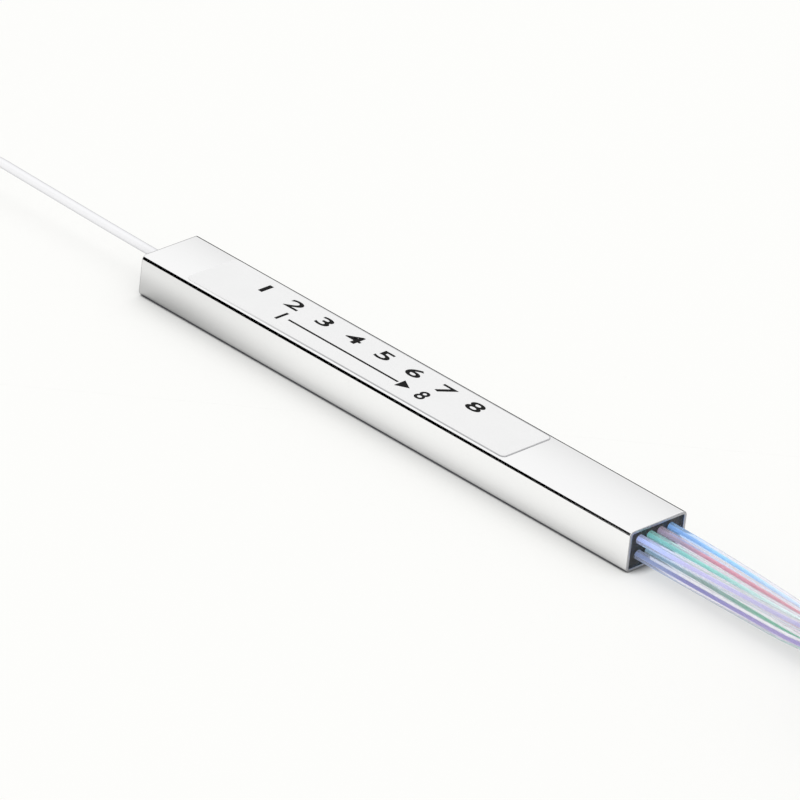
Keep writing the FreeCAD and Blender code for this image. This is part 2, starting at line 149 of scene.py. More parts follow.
def blend_colours(
    tree: bpy.types.NodeTree,
    share: bpy.types.NodeSocket,
    first: str | bpy.types.NodeSocket,
    second: str | bpy.types.NodeSocket,
) -> bpy.types.NodeSocket:
    """Blends two colours by a share.

    Args:
        tree: The tree that gets the node.
        share: Zero gives the first colour, and one the second.
        first: A hex value, or the output that gives the colour.
        second: A hex value, or the output that gives the colour.

    Returns:
        The output that gives the blend.
    """
    ends = [linear(colour) if isinstance(colour, str) else colour for colour in (first, second)]
    mix = add_node(
        tree,
        "ShaderNodeMix",
        settings={"data_type": "RGBA"},
        inputs={"Factor": share, MIX_A: ends[0], MIX_B: ends[1]},
    )
    return mix.outputs[MIX_RESULT]


def ramp_up(
    tree: bpy.types.NodeTree,
    value: bpy.types.NodeSocket,
    start: float,
    end: float,
    low: float = 0.0,
    high: float = 1.0,
) -> bpy.types.NodeSocket:
    """Turns a range of a value smoothly to another range.

    Args:
        tree: The tree that gets the node.
        value: The output that gives the value.
        start: The value that gives low.
        end: The value that gives high.
        low: The result at the start.
        high: The result at the end.

    Returns:
        The output that gives the result.
    """
    mapped = add_node(
        tree,
        "ShaderNodeMapRange",
        settings={"interpolation_type": "SMOOTHSTEP"},
        inputs={"Value": value, "From Min": start, "From Max": end, "To Min": low, "To Max": high},
    )
    return mapped.outputs[0]


def combined(
    tree: bpy.types.NodeTree,
    operation: str,
    first: bpy.types.NodeSocket,
    second: bpy.types.NodeSocket | float,
) -> bpy.types.NodeSocket:
    """Works out a value from two others.

    Args:
        tree: The tree that gets the node.
        operation: Blender's name of the sum.
        first: The output that gives the first value.
        second: The second value, or the output that gives it.

    Returns:
        The output that gives the result.
    """
    settings = {"operation": operation}
    return add_node(tree, "ShaderNodeMath", settings, {0: first, 1: second}).outputs[0]


def multiplied(
    tree: bpy.types.NodeTree, first: bpy.types.NodeSocket, second: bpy.types.NodeSocket | float
) -> bpy.types.NodeSocket:
    """Multiplies two values in a tree."""
    return combined(tree, "MULTIPLY", first, second)


def highest(
    tree: bpy.types.NodeTree, first: bpy.types.NodeSocket, *others: bpy.types.NodeSocket
) -> bpy.types.NodeSocket:
    """Gives the highest of some values in a tree."""
    for other in others:
        first = combined(tree, "MAXIMUM", first, other)
    return first


def mixed_shaders(
    tree: bpy.types.NodeTree,
    share: bpy.types.NodeSocket,
    first: bpy.types.Node,
    second: bpy.types.Node,
) -> bpy.types.Node:
    """Mixes two shaders: a share of zero gives the first, and one the second."""
    inputs = {0: share, 1: first.outputs[0], 2: second.outputs[0]}
    return add_node(tree, "ShaderNodeMixShader", inputs=inputs)


def mirrored(tree: bpy.types.NodeTree, path: bpy.types.Node) -> bpy.types.NodeSocket:
    """Gives one in a reflection; what is seen through clear stuff counts as glossy too."""
    return add_node(
        tree,
        "ShaderNodeMath",
        settings={"operation": "SUBTRACT", "use_clamp": True},
        inputs={0: path.outputs["Is Glossy Ray"], 1: path.outputs["Is Transmission Ray"]},
    ).outputs[0]


def seen_directly(tree: bpy.types.NodeTree, path: bpy.types.Node) -> bpy.types.NodeSocket:
    """Gives one for the eye, for what is seen through clear stuff, and in a mirror."""
    rays = ("Is Camera Ray", "Is Transmission Ray", "Is Glossy Ray")
    return highest(tree, *(path.outputs[ray] for ray in rays))


def place_parts(tree: bpy.types.NodeTree) -> bpy.types.Node:
    """Gives the place on a piece in its own space, as X, Y and Z."""
    place = add_node(tree, "ShaderNodeTexCoord").outputs["Object"]
    return add_node(tree, "ShaderNodeSeparateXYZ", inputs={"Vector": place})


def streaks(
    tree: bpy.types.NodeTree, length: float, width: float, detail: float = 2.0
) -> bpy.types.NodeSocket:
    """Draws a noise that is stretched along the splitter.

    Args:
        tree: The tree that gets the nodes.
        length: How long its marks are, in metres.
        width: How wide its marks are, in metres.
        detail: How many finer noises lie on it.

    Returns:
        The output that gives the noise, from zero to one.
    """
    place = add_node(tree, "ShaderNodeTexCoord").outputs["Object"]
    scale = (1 / length, 1 / width, 1 / width)
    drawn = add_node(tree, "ShaderNodeMapping", inputs={"Vector": place, "Scale": scale})
    noise = add_node(
        tree,
        "ShaderNodeTexNoise",
        inputs={"Vector": drawn.outputs[0], "Scale": 1.0, "Detail": detail},
    )
    return noise.outputs[0]


def bumped(
    tree: bpy.types.NodeTree, height: bpy.types.NodeSocket, depth: float
) -> bpy.types.NodeSocket:
    """Turns a height to a normal, with the depth of its relief in metres."""
    bump = add_node(
        tree, "ShaderNodeBump", inputs={"Height": height, "Strength": 1.0, "Distance": depth}
    )
    return bump.outputs[0]


@dataclass(frozen=True)
class PolishedStainless:
    """Stainless steel, drawn to a tube and polished: bright, with faint lines along the draw."""

    colour: str = "F8F8F8"
    roughness: float = 0.07
    roughness_shares: tuple[float, float] = (0.8, 1.3)
    line_length: float = 9.0 * MM
    line_width: float = 0.12 * MM
    line_depth: float = 0.00025 * MM

    def make(self) -> bpy.types.Material:
        """Builds the material."""
        material = new_material("drawn_polished_stainless")
        tree = material.node_tree
        lines = streaks(tree, self.line_length, self.line_width)
        smooth, rough = (self.roughness * share for share in self.roughness_shares)
        shader = add_node(
            tree,
            "ShaderNodeBsdfPrincipled",
            inputs={
                "Base Color": linear(self.colour),
                "Metallic": 1.0,
                "Roughness": ramp_up(tree, lines, 0.0, 1.0, smooth, rough),
                "Normal": bumped(tree, lines, self.line_depth),
            },
        )
        finish_surface(tree, shader)
        return material


@dataclass(frozen=True)
class CutStainless:
    """Stainless steel, sawn across and deburred: satin, so it takes no clear reflections."""

    colour: str = "B4B4B6"
    roughness: float = 0.42
    scratch: float = 0.05 * MM
    scratch_detail: float = 4.0
    scratch_depth: float = 0.0015 * MM

    def make(self) -> bpy.types.Material:
        """Builds the material."""
        material = new_material("deburred_stainless")
        tree = material.node_tree
        scratches = streaks(tree, self.scratch, self.scratch, self.scratch_detail)
        shader = add_node(
            tree,
            "ShaderNodeBsdfPrincipled",
            inputs={
                "Base Color": linear(self.colour),
                "Metallic": 1.0,
                "Roughness": self.roughness,
                "Normal": bumped(tree, scratches, self.scratch_depth),
            },
        )
        finish_surface(tree, shader)
        return material


@dataclass(frozen=True)
class LabelFilm:
    """White polyester film with a matt coat, with painted shade as a thin grey line along its edge.
    """

    colour: str = "EDEDED"
    cloud: str = "EAEAEA"
    # Colour of the painted shade along the label's edge
    edge: str = "B4B4B6"
    roughness: float = 0.6
    cloud_size: float = 2.5 * MM
    grain: float = 0.05 * MM
    grain_depth: float = 0.0006 * MM
    edge_shade_width: float = 0.10 * MM
    edge_shade_fade: tuple[float, float] = (1.3, 0.7)
    corner: float = 0.5 * MM

    def make(self, low: Vector, high: Vector) -> bpy.types.Material:
        """Builds the material.

        Args:
            low: The label's lowest corner.
            high: The label's highest corner.

        Returns:
            The material.
        """
        material = new_material("matt_polyester_film")
        tree = material.node_tree
        clouds = streaks(tree, self.cloud_size, self.cloud_size)
        plain = blend_colours(tree, clouds, self.cloud, self.colour)
        grain = streaks(tree, self.grain, self.grain)
        # Share of the painted shade along the label's edge
        drawn = self.edge_shade_share(tree, low, high)
        shader = add_node(
            tree,
            "ShaderNodeBsdfPrincipled",
            inputs={
                "Base Color": blend_colours(tree, drawn, plain, self.edge),
                "Roughness": self.roughness,
                "Normal": bumped(tree, grain, self.grain_depth),
            },
        )
        finish_surface(tree, shader)
        return material

    def edge_shade_share(
        self, tree: bpy.types.NodeTree, low: Vector, high: Vector
    ) -> bpy.types.NodeSocket:
        """Paints shade as a grey line along the label's rounded outline, which fades towards the
        input end.

        Args:
            tree: The tree that gets the nodes.
            low: The label's lowest corner.
            high: The label's highest corner.

        Returns:
            The output that is one on the line.
        """
        place = add_node(tree, "ShaderNodeTexCoord").outputs["Object"]
        middle = (low + high) / 2
        half = (high - low) / 2
        inner = Vector((half.x - self.corner, half.y - self.corner, 1.0))
        steps = (
            ("SUBTRACT", (middle.x, middle.y, 0.0)),
            ("ABSOLUTE", None),
            ("SUBTRACT", inner),
            ("MAXIMUM", (0.0, 0.0, 0.0)),
        )
        for operation, other in steps:
            inputs = {0: place} if other is None else {0: place, 1: other}
            step = add_node(
                tree, "ShaderNodeVectorMath", settings={"operation": operation}, inputs=inputs
            )
            place = step.outputs[0]
        reach = add_node(
            tree, "ShaderNodeVectorMath", settings={"operation": "LENGTH"}, inputs={0: place}
        ).outputs["Value"]
        none, full = (self.corner - self.edge_shade_width * share for share in self.edge_shade_fade)
        line = ramp_up(tree, reach, none, full)
        along = place_parts(tree).outputs["X"]
        fade = ramp_up(tree, along, low.x, low.x + half.x)
        return multiplied(tree, line, fade)


@dataclass(frozen=True)
class Dielectric:
    """A plastic, glass, glue or ink: a clouded colour under a gloss, with a fine relief."""

    name: str
    colour: str
    cloud: str
    roughness: float
    ior: float = 1.5
    cloud_size: float = 1.0 * MM
    relief: float = 0.2 * MM
    relief_detail: float = 3.0
    depth: float = 0.001 * MM
    transmission: float = 0.0
    subsurface: float = 0.0
    subsurface_depth: float = 0.5 * MM
    coat: float = 0.0
    # Tint and IOR of the coat, which can paint grey outlines where the surface is seen aslant
    skin: str = "FFFFFF"
    skin_ior: float = 1.5
    # Strength of a painted glow in the surface's own colour
    glow: float = 0.0

    def make(self) -> bpy.types.Material:
        """Builds the material."""
        material = new_material(self.name)
        tree = material.node_tree
        clouds = streaks(tree, self.cloud_size, self.cloud_size)
        relief = streaks(tree, self.relief, self.relief, self.relief_detail)
        shader = add_node(
            tree,
            "ShaderNodeBsdfPrincipled",
            inputs={
                "Base Color": blend_colours(tree, clouds, self.cloud, self.colour),
                "Roughness": self.roughness,
                "IOR": self.ior,
                "Transmission Weight": self.transmission,
                "Subsurface Weight": self.subsurface,
                "Subsurface Radius": (1.0, 1.0, 1.0),
                "Subsurface Scale": self.subsurface_depth,
                "Coat Weight": self.coat,
                "Coat IOR": self.skin_ior,
                "Coat Tint": linear(self.skin),
                "Emission Color": linear(self.colour),
                "Emission Strength": self.glow,
                "Normal": bumped(tree, relief, self.depth),
            },
        )
        finish_surface(tree, shader)
        return material


class Stock(Enum):
    """The plain finishes, each by what the real stuff is and what that gives the eye."""

    # Black two-part epoxy, poured and cured: charcoal, with a broken gloss where it shrank
    CAST_EPOXY = Dielectric(
        "black_cast_epoxy",
        "3C3C3A",
        "2C2C2B",
        0.42,
        cloud_size=0.6 * MM,
        relief=0.25 * MM,
        depth=0.006 * MM,
    )
    # Thermal transfer ink on film: flat black, with the film's own fine tooth
    PRINT_INK = Dielectric(
        "thermal_transfer_ink", "0A0A0A", "121212", 0.6, 1.2, cloud_size=0.2 * MM, relief=0.06 * MM
    )
    # Silica on silicon, lapped and polished: dark slate under a clear glassy skin
    SILICON_CHIP = Dielectric(
        "silica_on_silicon",
        "5A5F70",
        "484D60",
        0.12,
        ior=1.46,
        coat=1.0,
        relief=0.4 * MM,
        depth=0.0002 * MM,
    )
    # Borosilicate glass, ground and polished: clear, with a faint green
    POLISHED_GLASS = Dielectric(
        "ground_borosilicate",
        "EFF6F3",
        "E6F0EC",
        0.05,
        ior=1.47,
        transmission=0.95,
        depth=0.0002 * MM,
    )
    # Ultraviolet-cured glue: clear amber, with a wet gloss and soft waves
    OPTICAL_GLUE = Dielectric(
        "uv_cured_glue",
        "EFE3BE",
        "E6D6A6",
        0.08,
        ior=1.52,
        relief=0.5 * MM,
        depth=0.004 * MM,
        transmission=0.7,
    )
    # Silicone gel, cast in pads: milky and soft, with little gloss
    SILICONE_PAD = Dielectric(
        "cast_silicone", "E2E5E6", "D4D8DA", 0.5, ior=1.41, subsurface=0.6, depth=0.002 * MM
    )
    # Natural acrylate coating on the input fibre: clear, nearly white
    NATURAL_COATING = Dielectric(
        "natural_acrylate", "F2F2F4", "E8E8EC", 0.2, ior=1.49, transmission=0.5, depth=0.0002 * MM
    )
    # White polyester tube with a painted glow that lifts its shaded side, and a clear coat whose
    # tint paints grey outlines where it is seen aslant
    WHITE_TUBE = Dielectric(
        "white_polyester_tube",
        "EDEDED",
        "EAEAEB",
        0.28,
        cloud_size=4.0 * MM,
        depth=0.0003 * MM,
        coat=1.0,
        skin="E4E4E5",
        skin_ior=1.02,
        glow=0.62,
    )
    # Polypropylene film tape: thin, pale and a little cloudy
    TIE_FILM = Dielectric(
        "polypropylene_tape", "EDEDEB", "E2E2E0", 0.4, ior=1.49, transmission=0.3, depth=0.002 * MM
    )


@dataclass(frozen=True)
class CoatedFiber:
    """Colour ink on an acrylate-coated fibre, with a painted glow that makes it brighter than the
    light on it.

    The colours at its stops are paler where the photographed tube hazes them.
    """

    tint: Tint
    near: str
    middle: str
    far: str
    haze: str
    stops: tuple[float, float, float, float] = (31.5 * MM, 36.0 * MM, 46.5 * MM, 54.0 * MM)
    roughness: float = 0.3
    ior: float = 1.49
    line_length: float = 3.0 * MM
    line_width: float = 0.1 * MM
    line_depth: float = 0.0004 * MM
    # Strength of the painted glow in the ink's colour
    glow: float = 0.55

    def make(self, name: str) -> bpy.types.Material:
        """Builds the material.

        Args:
            name: The material's name.

        Returns:
            The material.
        """
        material = new_material(name)
        tree = material.node_tree
        along = place_parts(tree).outputs["X"]
        colour: str | bpy.types.NodeSocket = self.near
        for index, following in enumerate((self.middle, self.far, self.tint.value)):
            share = ramp_up(tree, along, self.stops[index], self.stops[index + 1])
            colour = blend_colours(tree, share, colour, following)
        lines = streaks(tree, self.line_length, self.line_width)
        shader = add_node(
            tree,
            "ShaderNodeBsdfPrincipled",
            inputs={
                "Base Color": colour,
                "Roughness": self.roughness,
                "IOR": self.ior,
                "Emission Color": colour,
                "Emission Strength": self.glow,
                "Normal": bumped(tree, lines, self.line_depth),
            },
        )
        finish_surface(tree, shader)
        return material


@dataclass(frozen=True)
class ClearTube:
    """Extruded clear polyester tube, a little milky, which its fibre tints near the potting.

    Over the same stretch the tube has a painted glow in its fibre's haze colour.
    """

    haze: str
    clear: str = "FCFBFF"
    roughness: float = 0.12
    ior: float = 1.3
    tint_start: float = 30.5 * MM
    tint_end: float = 36.5 * MM
    tint_share: float = 0.6
    line_length: float = 8.0 * MM
    line_width: float = 0.3 * MM
    line_depth: float = 0.0006 * MM
    transmission: float = 0.78
    # Strength of the painted glow near the potting
    glow: float = 0.16

    def make(self, name: str) -> bpy.types.Material:
        """Builds the material.

        Args:
            name: The material's name.

        Returns:
            The material.
        """
        material = new_material(name)
        tree = material.node_tree
        along = place_parts(tree).outputs["X"]
        share = ramp_up(tree, along, self.tint_start, self.tint_end, self.tint_share, 0.0)
        glow = ramp_up(tree, along, self.tint_start, self.tint_end, self.glow, 0.0)
        lines = streaks(tree, self.line_length, self.line_width)
        shader = add_node(
            tree,
            "ShaderNodeBsdfPrincipled",
            inputs={
                "Base Color": blend_colours(tree, share, self.clear, self.haze),
                "Roughness": self.roughness,
                "IOR": self.ior,
                "Transmission Weight": self.transmission,
                "Emission Color": linear(self.haze),
                "Emission Strength": glow,
                "Normal": bumped(tree, lines, self.line_depth),
            },
        )
        finish_surface(tree, shader)
        return material


@dataclass(frozen=True)
class PhotoCamera:
    """The camera at the photograph's viewing angle."""

    azimuth: float = 41.73
    elevation: float = 28.18
    roll: float = 6.76
    distance: float = 1000.0 * MM
    pixels_per_mm: float = 11.534
    origin_right: float = 6.0
    origin_down: float = 21.1
    sensor: float = 36.0
    picture: float = 800.0
    clip: tuple[float, float] = (0.01, 100.0)

    def build(self) -> bpy.types.Object:
        """Makes the camera and hands it to the scene."""
        azimuth = math.radians(self.azimuth)
        elevation = math.radians(self.elevation)
        roll = math.radians(self.roll)
        level = math.cos(elevation)
        back = Vector((math.sin(azimuth) * level, -math.cos(azimuth) * level, math.sin(elevation)))
        right = Vector((0, 0, 1)).cross(back).normalized()
        up = back.cross(right)
        right, up = (
            math.cos(roll) * right + math.sin(roll) * up,
            math.cos(roll) * up - math.sin(roll) * right,
        )
        aim = (up * self.origin_down - right * self.origin_right) * (MM / self.pixels_per_mm)
        data = bpy.data.cameras.new("photo_camera")
        data.sensor_width = self.sensor
        data.lens = self.pixels_per_mm * self.sensor * self.distance / (MM * self.picture)
        data.clip_start, data.clip_end = self.clip
        camera = bpy.data.objects.new("photo_camera", data)
        bpy.context.scene.collection.objects.link(camera)
        columns = Matrix((right, up, back)).transposed()
        camera.matrix_world = Matrix.Translation(aim + back * self.distance) @ columns.to_4x4()
        bpy.context.scene.camera = camera
        return camera


@dataclass(frozen=True)
class BlackCard:
    """A black card that only reflections show, white again towards its upper edge.

    Its azimuth is its direction from the splitter, from +X towards +Y. The width, the height and
    the heights between which it fades to white are angles seen from there, in degrees. Its lean is
    how much lower the fade is for each unit towards greater azimuth.
    """

    name: str
    azimuth: float
    half_width: float
    high: float
    fade: tuple[float, float]
    lean: float = 0.0
    distance: float = 0.6

    def build(self) -> None:
        """Makes the card."""
        top = self.distance * math.tan(math.radians(self.high))
        dark, white = (self.distance * math.tan(math.radians(angle)) for angle in self.fade)
        width = 2 * self.distance * math.tan(math.radians(self.half_width))
        turn = math.radians(self.azimuth)
        bpy.ops.mesh.primitive_plane_add(size=1)
        card = bpy.context.object
        card.name = self.name
        card.scale = (top, width, 1)
        card.rotation_euler = (0, math.radians(90), turn)
        card.location = (self.distance * math.cos(turn), self.distance * math.sin(turn), top / 2)
        card.data.materials.append(self.finish(self.lean * width / top, dark / top, white / top))
        card.visible_camera = False
        card.visible_diffuse = False
        card.visible_transmission = False
        card.visible_shadow = False

    def finish(self, lean: float, dark: float, white: float) -> bpy.types.Material:
        """Builds its material, which is clear to what is seen through clear stuff.

        Args:
            lean: How much lower the fade is for each width of the card.
            dark: The share of its height up to which it is black.
            white: The share of its height from which it is white.

        Returns:
            The material.
        """
        material = new_material(self.name + "_black_card")
        tree = material.node_tree
        parts = place_parts(tree)
        leaned = add_node(
            tree,
            "ShaderNodeMath",
            settings={"operation": "MULTIPLY_ADD"},
            inputs={0: parts.outputs["Y"], 1: lean, 2: parts.outputs["X"]},
        ).outputs[0]
        level = ramp_up(tree, leaned, 0.5 - white, 0.5 - dark, 1.0, 0.0)
        shade = add_node(
            tree, "ShaderNodeEmission", inputs={"Color": linear(WHITE), "Strength": level}
        )
        clear = add_node(tree, "ShaderNodeBsdfTransparent")
        through = add_node(tree, "ShaderNodeLightPath").outputs["Is Transmission Ray"]
        finish_surface(tree, mixed_shaders(tree, through, shade, clear))
        return material


@dataclass(frozen=True)
class WhiteFloor:
    """White paper that keeps the shadow, shows white, and is dark far off in reflections.

    Each range of openness, from nothing open to all open, gives where the floor turns from dark
    to its own colour: at the corner, at the steel's foot, and at the foot as the steel mirrors it.
    """

    size: float = 12.0
    colour: str = "F6F6F4"
    seen_colour: str = "FFFFFD"
    seen_share: float = 0.6
    contact_shadow_colour: str = "404044"
    contact_reach: float = 5.0 * MM
    contact_rays: int = 8
    contact_seen: float = 0.45
    under_cords: float = 0.25
    corner_open: tuple[float, float] = (0.1, 0.9)
    foot_open: tuple[float, float] = (0.2, 0.62)
    mirrored_foot_open: tuple[float, float] = (0.25, 0.78)
    steel_end: tuple[float, float] = (29.5 * MM, 31.5 * MM)
    front_dark: tuple[float, float] = (-31.9 * MM, -29.0 * MM)
    back_dark: tuple[float, float] = (20.0 * MM, 24.0 * MM)
    grey_along: tuple[float, float] = (-31.0 * MM, -3.0 * MM)
    grey_curve: float = 1.6
    grey_across: tuple[float, float] = (-8.0 * MM, -4.3 * MM)
    grey_depths: tuple[float, float] = (0.14, 0.4)

    def build(self) -> None:
        """Makes the floor."""
        bpy.ops.mesh.primitive_plane_add(size=self.size)
        floor = bpy.context.object
        floor.name = "floor"
        material = new_material("white_paper_floor")
        tree = material.node_tree
        path = add_node(tree, "ShaderNodeLightPath")
        corner = self.corner_share(tree, path)
        paper_colour = blend_colours(tree, corner, self.colour, self.contact_shadow_colour)
        paper = add_node(tree, "ShaderNodeBsdfDiffuse", inputs={"Color": paper_colour})
        glow_colour = blend_colours(tree, corner, self.seen_colour, self.contact_shadow_colour)
        glow = add_node(tree, "ShaderNodeEmission", inputs={"Color": glow_colour})
        share = multiplied(tree, seen_directly(tree, path), self.seen_share)
        full = highest(tree, share, path.outputs["Is Transmission Ray"])
        lit = mixed_shaders(tree, full, paper, glow)
        black = add_node(tree, "ShaderNodeEmission", inputs={"Color": linear(BLACK)})
        finish_surface(tree, mixed_shaders(tree, self.dark_share(tree, path), lit, black))
        floor.data.materials.append(material)

    def corner_share(self, tree: bpy.types.NodeTree, path: bpy.types.Node) -> bpy.types.NodeSocket:
        """Gives how much painted contact shadow darkens the floor where steel stands on it:
        clearest in the steel itself.

        Args:
            tree: The tree that gets the nodes.
            path: Its Light Path node.

        Returns:
            The output that holds the share.
        """
        # Painted contact shadow: where the AO node finds the floor closed in, at the steel's foot,
        # round the cords and in the steel's reflection of its foot, the floor's colour turns dark
        openness = add_node(
            tree,
            "ShaderNodeAmbientOcclusion",
            settings={"samples": self.contact_rays},
            inputs={"Distance": self.contact_reach},
        ).outputs["AO"]
        corner = ramp_up(tree, openness, *self.corner_open, 1.0, 0.0)
        foot = ramp_up(tree, openness, *self.foot_open, 1.0, 0.0)
        soft = multiplied(tree, corner, self.contact_seen)
        mirrored_foot = ramp_up(tree, openness, *self.mirrored_foot_open, 1.0, 0.0)
        in_steel = multiplied(tree, highest(tree, corner, mirrored_foot), mirrored(tree, path))
        along = add_node(
            tree,
            "ShaderNodeMath",
            settings={"operation": "ABSOLUTE"},
            inputs={0: place_parts(tree).outputs["X"]},
        ).outputs[0]
        beside = ramp_up(tree, along, *self.steel_end, 1.0, 0.0)
        under = multiplied(tree, soft, self.under_cords)
        seen = highest(tree, under, multiplied(tree, highest(tree, soft, foot), beside))
        return highest(
            tree,
            multiplied(tree, seen, path.outputs["Is Camera Ray"]),
            multiplied(tree, in_steel, beside),
        )

    def dark_share(self, tree: bpy.types.NodeTree, path: bpy.types.Node) -> bpy.types.NodeSocket:
        """Gives one where a reflection shows the floor beyond its white strip.

        The strip is also greyer towards the input end, most of all near the steel.

        Args:
            tree: The tree that gets the nodes.
            path: Its Light Path node.

        Returns:
            The output that holds the answer.
        """
        parts = place_parts(tree)
        across = parts.outputs["Y"]
        front = ramp_up(tree, across, *self.front_dark, 1.0, 0.0)
        back = ramp_up(tree, across, *self.back_dark)
        left = ramp_up(tree, parts.outputs["X"], *self.grey_along, 1.0, 0.0)
        curved = combined(tree, "POWER", left, self.grey_curve)
        near = ramp_up(tree, across, *self.grey_across, *self.grey_depths)
        darkest = highest(tree, front, back, multiplied(tree, curved, near))
        return multiplied(tree, darkest, mirrored(tree, path))


@dataclass(frozen=True)
class Studio:
    """White floor, soft light, and the black cards that polished steel mirrors."""

    sky: float = 0.88
    sun: float = 0.62
    sun_tilt: float = 32.0
    sun_softness: float = 55.0
    cards: tuple[BlackCard, ...] = (
        BlackCard("front_flag", azimuth=222.0, half_width=16.0, high=40.0, fade=(39.9, 40.0)),
        BlackCard(
            "back_flag", azimuth=131.0, half_width=27.0, high=38.0, fade=(13.0, 30.3), lean=-0.5
        ),
    )
    clear_bounces: int = 40
    glossy_bounces: int = 12
    diffuse_bounces: int = 6

    def build(self) -> None:
        """Makes the floor, the world, the lamp and the cards."""
        WhiteFloor().build()
        self.world()
        self.lamp()
        for card in self.cards:
            card.build()
        bpy.context.scene.view_settings.view_transform = "Standard"
        self.light_paths()

    def light_paths(self) -> None:
        """Lets light pass all eight tubes, and back, before it is given up."""
        cycles = bpy.context.scene.cycles
        cycles.max_bounces = self.clear_bounces
        cycles.transmission_bounces = self.clear_bounces
        cycles.glossy_bounces = self.glossy_bounces
        cycles.diffuse_bounces = self.diffuse_bounces

    def world(self) -> None:
        """Makes the sky: white to the eye and in metal, and softer as a light."""
        world = bpy.data.worlds.new("white_studio")
        world.use_nodes = True
        tree = world.node_tree
        tree.nodes.clear()
        path = add_node(tree, "ShaderNodeLightPath")
        light, white = (
            add_node(
                tree, "ShaderNodeBackground", inputs={"Color": linear(WHITE), "Strength": strength}
            )
            for strength in (self.sky, 1.0)
        )
        seen = mixed_shaders(tree, seen_directly(tree, path), light, white)
        add_node(tree, "ShaderNodeOutputWorld", inputs={"Surface": seen.outputs[0]})
        bpy.context.scene.world = world

    def lamp(self) -> None:
        """Makes the soft lamp above and behind, whose shadow falls to the front."""
        data = bpy.data.lights.new("overhead_softbox", "SUN")
        data.energy = self.sun
        data.angle = math.radians(self.sun_softness)
        lamp = bpy.data.objects.new("overhead_softbox", data)
        lamp.rotation_euler = (-math.radians(self.sun_tilt), 0, 0)
        bpy.context.scene.collection.objects.link(lamp)


def lay_curve(
    name: str, points: Sequence[Vector], diameter: float, sides: int = CORD_SIDES
) -> bpy.types.Object:
    """Makes a round cord along one smooth spline.

    Args:
        name: The piece's name.
        points: The spline's control points, in metres.
        diameter: The cord's diameter, in metres.
        sides: Its segments in each quarter of its round section.

    Returns:
        The cord, linked to the scene.
    """
    data = bpy.data.curves.new(name, "CURVE")
    data.dimensions = "3D"
    data.resolution_u = CORD_STEPS
    data.bevel_depth = diameter / 2
    data.bevel_resolution = sides
    data.use_fill_caps = True
    spline = data.splines.new("NURBS")
    spline.points.add(len(points) - 1)
    for control, point in zip(spline.points, points):
        control.co = (*point, 1.0)
    spline.order_u = CORD_ORDER
    spline.use_endpoint_u = True
    spline.resolution_u = CORD_STEPS
    cord = bpy.data.objects.new(name, data)
    bpy.context.scene.collection.objects.link(cord)
    return cord


@dataclass(frozen=True)
class InputCord:
    """The white input tube: its route from the steel tube, and its coil."""

    diameter: float = 0.9 * MM
    length: float = 1000.0 * MM
    start: tuple[float, float, float] = (-25.9, 0.0, 2.3)
    exit: tuple[float, float, float] = (-29.6, 0.0, 2.3)
    route: tuple[tuple[float, float, float], ...] = (
        (-33.5, 0.00, 2.30),
        (-48.0, 0.00, 2.61),
        (-54.5, 0.00, 2.75),
        (-61.0, -1.40, 1.85),
        (-67.5, -3.155, 0.65),
        (-73.9, -3.155, 0.65),
    )
    coil_middle: tuple[float, float] = (-73.9, 5.5)
    radii: tuple[float, ...] = (8.655, 7.685, 6.715, 5.745)
    lay_pitch: float = 0.97
    levels: int = 6
    stations: int = 16

    def coil_points(self) -> list[Vector]:
        """Works out the coil's turns, from the outer column to the inner one.

        Returns:
            Control points in millimetres, one for each station.
        """
        points = []
        wound = 0.0
        bottom = self.route[-1][2]
        spread = 1 / math.cos(math.pi / self.stations)
        quarter = self.stations // 4
        column_steps = (self.levels - 1) * self.stations + quarter
        step = 0
        coiled = self.length / MM - self.free_length()
        while wound < coiled and step < len(self.radii) * column_steps:
            step += 1
            column, place = divmod(step, column_steps)
            column = min(column, len(self.radii) - 1)
            climb = min(place / (column_steps - quarter), 1.0)
            level = (self.levels - 1) * (climb if column % 2 == 0 else 1 - climb)
            inward = max(place - (column_steps - quarter), 0) / quarter
            following = self.radii[min(column + 1, len(self.radii) - 1)]
            radius = (self.radii[column] * (1 - inward) + following * inward) * spread
            angle = -math.pi / 2 - 2 * math.pi * step / self.stations
            x = self.coil_middle[0] + radius * math.cos(angle)
            y = self.coil_middle[1] + radius * math.sin(angle)
            points.append(Vector((x, y, bottom + level * self.lay_pitch)))
            wound += 2 * math.pi * radius / spread / self.stations
        return points

    def free_length(self) -> float:
        """Gives the length of the stretch before the coil, in millimetres."""
        points = [Vector(self.start)] + [Vector(point) for point in self.route]
        return sum((b - a).length for a, b in zip(points, points[1:]))

    def build(self) -> bpy.types.Object:
        points = [Vector(self.start)] + [Vector(point) for point in self.route] + self.coil_points()
        cord = lay_curve("input_loose_tube", [point * MM for point in points], self.diameter)
        cord.data.materials.append(Stock.WHITE_TUBE.value.make())
        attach(cord, BODY)
        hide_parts("input_tube", "input_coil")
        LOG.info("%s: %d points", cord.name, len(points))
        return cord


